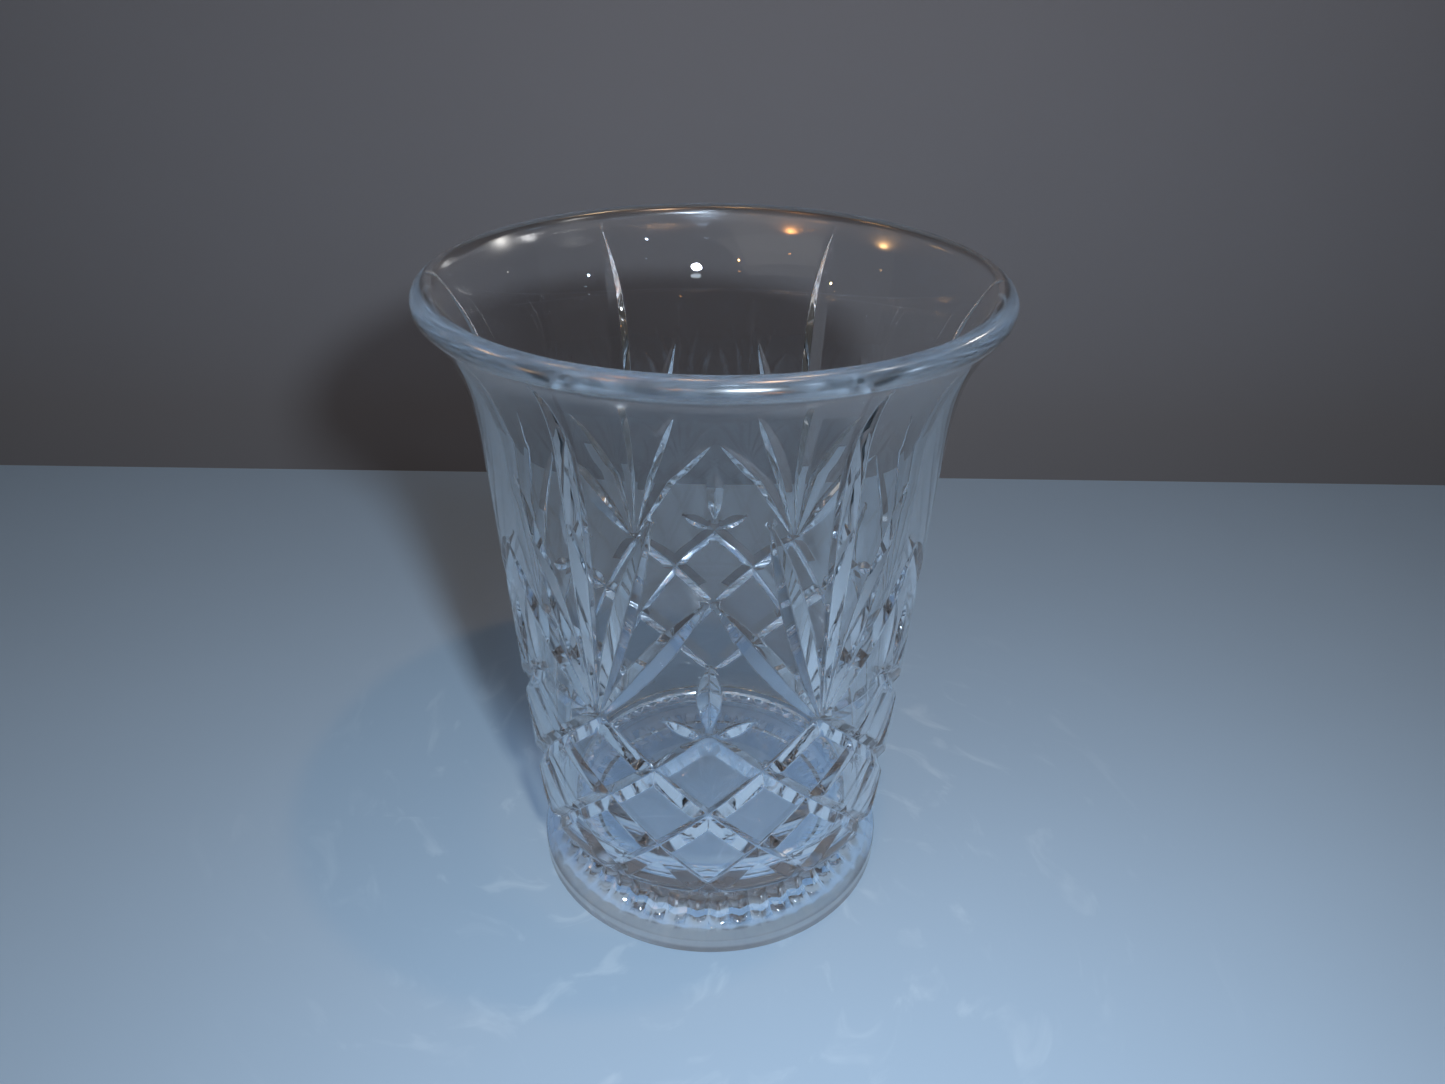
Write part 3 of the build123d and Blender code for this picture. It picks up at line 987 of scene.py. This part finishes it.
def ground_mat():
    """The ring that the foot stands on: ground, and worn clear in streaks."""
    m = bpy.data.materials.new("ground_glass")
    m.use_nodes = True
    nt = m.node_tree
    N, Lk = nt.nodes.new, nt.links.new
    p = nt.nodes["Principled BSDF"]
    p.inputs["Roughness"].default_value = 0.10
    p.inputs["IOR"].default_value = 1.545
    tc = N("ShaderNodeTexCoord")
    sep = N("ShaderNodeSeparateXYZ"); Lk(tc.outputs["Object"], sep.inputs["Vector"])
    flat = N("ShaderNodeCombineXYZ")
    Lk(sep.outputs["X"], flat.inputs["X"]); Lk(sep.outputs["Y"], flat.inputs["Y"])
    ln = N("ShaderNodeVectorMath"); ln.operation = "LENGTH"
    Lk(flat.outputs["Vector"], ln.inputs[0])
    un = N("ShaderNodeVectorMath"); un.operation = "NORMALIZE"
    Lk(flat.outputs["Vector"], un.inputs[0])
    wide = N("ShaderNodeVectorMath"); wide.operation = "SCALE"
    Lk(un.outputs["Vector"], wide.inputs[0]); wide.inputs["Scale"].default_value = 13.0
    far = N("ShaderNodeMath"); far.operation = "MULTIPLY"; far.inputs[1].default_value = 70.0
    Lk(ln.outputs["Value"], far.inputs[0])
    up = N("ShaderNodeCombineXYZ"); Lk(far.outputs["Value"], up.inputs["Z"])
    v = N("ShaderNodeVectorMath"); v.operation = "ADD"
    Lk(wide.outputs["Vector"], v.inputs[0]); Lk(up.outputs["Vector"], v.inputs[1])
    no = N("ShaderNodeTexNoise")
    no.inputs["Scale"].default_value = 1.0
    no.inputs["Detail"].default_value = 3
    Lk(v.outputs["Vector"], no.inputs["Vector"])
    mr = N("ShaderNodeMapRange")
    mr.inputs["From Min"].default_value = 0.44; mr.inputs["From Max"].default_value = 0.56
    mr.inputs["To Min"].default_value = 1.0; mr.inputs["To Max"].default_value = 0.30
    Lk(no.outputs["Fac"], mr.inputs["Value"])
    # the streaks give way to an even, then a clearer, band towards the rim
    out = N("ShaderNodeMapRange"); out.interpolation_type = "SMOOTHSTEP"
    out.inputs["From Min"].default_value = 0.0655; out.inputs["From Max"].default_value = 0.0690
    out.inputs["To Min"].default_value = 0.46; out.inputs["To Max"].default_value = 0.80
    Lk(ln.outputs["Value"], out.inputs["Value"])
    ev = N("ShaderNodeMapRange"); ev.interpolation_type = "SMOOTHSTEP"
    ev.inputs["From Min"].default_value = 0.0590; ev.inputs["From Max"].default_value = 0.0625
    Lk(ln.outputs["Value"], ev.inputs["Value"])
    mx = N("ShaderNodeMix")
    Lk(ev.outputs["Result"], mx.inputs[0])
    inr = N("ShaderNodeMapRange"); inr.interpolation_type = "SMOOTHSTEP"
    inr.inputs["From Min"].default_value = 0.0430; inr.inputs["From Max"].default_value = 0.0560
    Lk(ln.outputs["Value"], inr.inputs["Value"])
    fd = N("ShaderNodeMix"); fd.inputs[2].default_value = 1.0
    Lk(inr.outputs["Result"], fd.inputs[0]); Lk(mr.outputs["Result"], fd.inputs[3])
    Lk(fd.outputs[0], mx.inputs[2]); Lk(out.outputs["Result"], mx.inputs[3])
    Lk(mx.outputs[0], p.inputs["Transmission Weight"])
    ra = N("ShaderNodeValToRGB")
    ra.color_ramp.elements[0].color = (0.50, 0.645, 0.81, 1)
    ra.color_ramp.elements[1].color = (0.76, 0.885, 1.0, 1)
    Lk(no.outputs["Fac"], ra.inputs["Fac"])
    Lk(ra.outputs["Color"], p.inputs["Base Color"])
    lp = N("ShaderNodeLightPath")
    tr = N("ShaderNodeBsdfTransparent")
    tr.inputs["Color"].default_value = (0.93, 0.96, 1.0, 1)
    mix = N("ShaderNodeMixShader")
    Lk(lp.outputs["Is Shadow Ray"], mix.inputs[0])
    Lk(p.outputs["BSDF"], mix.inputs[1]); Lk(tr.outputs["BSDF"], mix.inputs[2])
    Lk(mix.outputs["Shader"], nt.nodes["Material Output"].inputs["Surface"])
    return m


body_mat = crystal("crystal_body", ((0.955, 0.975, 0.99), (0.975, 0.988, 1.0)), (0.0, 0.014), 0.00005,
                   (0.84, 0.88, 0.92), 0.19, (0.46, 0.47, 0.49))
foot_mat = crystal("crystal_base", ((0.970, 0.985, 1.0), (0.985, 0.994, 1.0)), (0.0, 0.014), 0.00005, (1.0, 1.0, 1.0))
join = join_mat()

bowl = bowl_mesh([body_mat, join])
foot = foot_mesh([foot_mat, join, ground_mat()])
for ob, node, slot in ((bowl, "bowl", "crystal_bowl"), (foot, "foot", "crystal_foot")):
    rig.ride(ob, "root")
    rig.replaces(ob, node)
    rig.slot(ob, slot)


# --------------------------------------------------------- floor and backdrop
def plain(name, col, rough, spec=0.4, var=0.03, scale=6.0):
    m = bpy.data.materials.new(name)
    m.use_nodes = True
    nt = m.node_tree
    p = nt.nodes["Principled BSDF"]
    p.inputs["Roughness"].default_value = rough
    p.inputs["Specular IOR Level"].default_value = spec
    tc = nt.nodes.new("ShaderNodeTexCoord")
    no = nt.nodes.new("ShaderNodeTexNoise")
    no.inputs["Scale"].default_value = scale
    no.inputs["Detail"].default_value = 3
    ra = nt.nodes.new("ShaderNodeValToRGB")
    ra.color_ramp.elements[0].color = (*[c * (1 - var) for c in col], 1)
    ra.color_ramp.elements[1].color = (*[min(1, c * (1 + var)) for c in col], 1)
    nt.links.new(tc.outputs["Object"], no.inputs["Vector"])
    nt.links.new(no.outputs["Fac"], ra.inputs["Fac"])
    nt.links.new(ra.outputs["Color"], p.inputs["Base Color"])
    return m


def slab(name, x0, x1, y0, y1, z, mat):
    me = bpy.data.meshes.new(name)
    me.from_pydata([(x0, y0, z), (x1, y0, z), (x1, y1, z), (x0, y1, z)], [], [(0, 1, 2, 3)])
    me.materials.append(mat)
    me.update()
    ob = bpy.data.objects.new(name, me)
    bpy.context.scene.collection.objects.link(ob)
    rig.stage(ob)
    return ob


def streaks(mat, col, painted_light_gain):
    """Painted light: faint pale streaks of light focused through the glass, painted into the floor's colour where they
    run outwards near the foot.
    """
    nt = mat.node_tree
    N, Lk = nt.nodes.new, nt.links.new
    p = nt.nodes["Principled BSDF"]
    base = p.inputs["Base Color"].links[0].from_socket
    tc = N("ShaderNodeTexCoord")
    sep = N("ShaderNodeSeparateXYZ")
    Lk(tc.outputs["Object"], sep.inputs["Vector"])
    ang = N("ShaderNodeMath"); ang.operation = "ARCTAN2"
    Lk(sep.outputs["Y"], ang.inputs[0]); Lk(sep.outputs["X"], ang.inputs[1])
    flat = N("ShaderNodeCombineXYZ")
    Lk(sep.outputs["X"], flat.inputs["X"]); Lk(sep.outputs["Y"], flat.inputs["Y"])
    ln = N("ShaderNodeVectorMath"); ln.operation = "LENGTH"
    Lk(flat.outputs["Vector"], ln.inputs[0])
    tw = N("ShaderNodeMath"); tw.operation = "MULTIPLY_ADD"      # a twist, so they lean
    Lk(ln.outputs["Value"], tw.inputs[0]); tw.inputs[1].default_value = 5.0
    Lk(ang.outputs["Value"], tw.inputs[2])
    v = N("ShaderNodeCombineXYZ")
    Lk(tw.outputs["Value"], v.inputs["X"])
    r3 = N("ShaderNodeMath"); r3.operation = "MULTIPLY"; r3.inputs[1].default_value = 9.0
    Lk(ln.outputs["Value"], r3.inputs[0]); Lk(r3.outputs["Value"], v.inputs["Y"])
    no = N("ShaderNodeTexNoise"); no.inputs["Scale"].default_value = 5.5
    no.inputs["Detail"].default_value = 4.0; no.inputs["Distortion"].default_value = 0.8
    Lk(v.outputs["Vector"], no.inputs["Vector"])
    painted_light_mask = N("ShaderNodeMapRange"); painted_light_mask.interpolation_type = "SMOOTHSTEP"
    painted_light_mask.inputs["From Min"].default_value = 0.55; painted_light_mask.inputs["From Max"].default_value = 0.74
    Lk(no.outputs["Fac"], painted_light_mask.inputs["Value"])
    painted_light_fade = N("ShaderNodeMapRange"); painted_light_fade.interpolation_type = "SMOOTHSTEP"
    painted_light_fade.inputs["From Min"].default_value = 0.26; painted_light_fade.inputs["From Max"].default_value = 0.10
    Lk(ln.outputs["Value"], painted_light_fade.inputs["Value"])
    mul = N("ShaderNodeMath"); mul.operation = "MULTIPLY"
    Lk(painted_light_mask.outputs["Result"], mul.inputs[0]); Lk(painted_light_fade.outputs["Result"], mul.inputs[1])
    sc_ = N("ShaderNodeMath"); sc_.operation = "MULTIPLY"; sc_.inputs[1].default_value = painted_light_gain
    Lk(mul.outputs["Value"], sc_.inputs[0])
    # mix the painted light colour into the floor's own colour
    mx = N("ShaderNodeMix"); mx.data_type = "RGBA"
    Lk(sc_.outputs["Value"], mx.inputs[0])
    Lk(base, mx.inputs[6]); mx.inputs[7].default_value = (*col, 1)
    Lk(mx.outputs[2], p.inputs["Base Color"])


floor_mat = plain("floor_pale", (0.46, 0.61, 0.775), 0.6, 0.0)
back_mat = plain("backdrop_grey", (0.285, 0.280, 0.300), 0.9, 0.0)
# painted light: pale streaks of light focused through the glass, painted into the floor colour around the foot
streaks(floor_mat, (0.70, 0.84, 0.98), 0.42)
slab("floor", -1.6, 1.6, -1.4, 0.352, -0.0003, floor_mat)
wall = slab("backdrop", -3.0, 3.0, 0.0, 2.6, 0.0, back_mat)
wall.rotation_euler = (math.pi / 2, 0, 0)
wall.location = (0, 0.46, -0.9)


# --------------------------------------------------------------------- lights
def area(name, loc, aim, sx, sy, watts, col=(1, 1, 1)):
    li = bpy.data.lights.new(name, "AREA")
    li.shape = "RECTANGLE" if sx > 0.1 else "ELLIPSE"; li.size = sx; li.size_y = sy
    li.energy = watts; li.color = col
    ob = bpy.data.objects.new(name, li)
    ob.location = loc
    d = Vector(aim) - Vector(loc)
    ob.rotation_euler = d.to_track_quat("-Z", "Y").to_euler()
    bpy.context.scene.collection.objects.link(ob)
    ob.visible_camera = False
    return ob


area("key", (0.078, -0.385, 0.425), (0, 0, 0.10), 0.040, 0.040, 2.46, (0.77, 0.885, 1.0))
area("fill", (-0.55, -0.75, 1.15), (0, 0, 0.1), 0.9, 0.9, 0.85, (1.0, 0.94, 0.88))
area("accent", (0.16, -0.10, 0.95), (0, 0, 0.12), 0.034, 0.034, 0.75, (1.0, 0.52, 0.22))
area("top", (-0.30, -0.45, 1.35), (0, 0, 0.1), 0.8, 0.8, 0.22, (1.0, 0.94, 0.88))

# small lamps that only the glass answers to: they make the sparkle of the cuts
TINTS = ((1.0, 0.40, 0.11), (1.0, 0.97, 0.93), (1.0, 0.56, 0.22), (0.58, 0.76, 1.0), (1.0, 0.68, 0.36))
LAMPS = 18
for k in range(LAMPS):
    el = math.radians(14 + 68 * (k + 0.5) / LAMPS)
    az = k * 2.39996 + 0.35
    far = 1.0 + 0.12 * math.sin(k * 1.7)
    lamp = area("spark_%d" % k, (far * math.cos(el) * math.sin(az), -far * math.cos(el) * math.cos(az),
                                 0.10 + far * math.sin(el)), (0, 0, 0.10), 0.015, 0.015, 0.42, TINTS[k % 5])
    lamp.visible_diffuse = False

w = bpy.data.worlds.new("studio")
w.use_nodes = True
w.node_tree.nodes["Background"].inputs["Color"].default_value = (0.66, 0.64, 0.62, 1)
w.node_tree.nodes["Background"].inputs["Strength"].default_value = 0.075
bpy.context.scene.world = w

# --------------------------------------------------------------------- camera
cam = bpy.data.cameras.new("camera")
cam.lens = 27.405
cam.sensor_width = 36.0
cam.sensor_fit = "HORIZONTAL"
cam.clip_start = 0.01
co = bpy.data.objects.new("camera", cam)
co.location = (0.00375, -0.37078, 0.36191)
co.rotation_euler = (Matrix.Rotation(math.radians(90 - 30.095), 3, "X")
                     @ Matrix.Rotation(math.radians(0.803), 3, "Z")).to_euler()
bpy.context.scene.collection.objects.link(co)
sc = bpy.context.scene
sc.camera = co
cy = sc.cycles
cy.max_bounces = 24
cy.transmission_bounces = 24
cy.glossy_bounces = 16
cy.transparent_max_bounces = 32
cy.diffuse_bounces = 3
cy.sample_clamp_indirect = 8
cy.caustics_refractive = False
cy.caustics_reflective = False
sc.view_settings.view_transform = "Standard"
sc.view_settings.look = "None"

json.dump({"cad": CAD_BOX, "visual": [[float(c) for c in v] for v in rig.bounds()]},
          open("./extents.json", "w"))
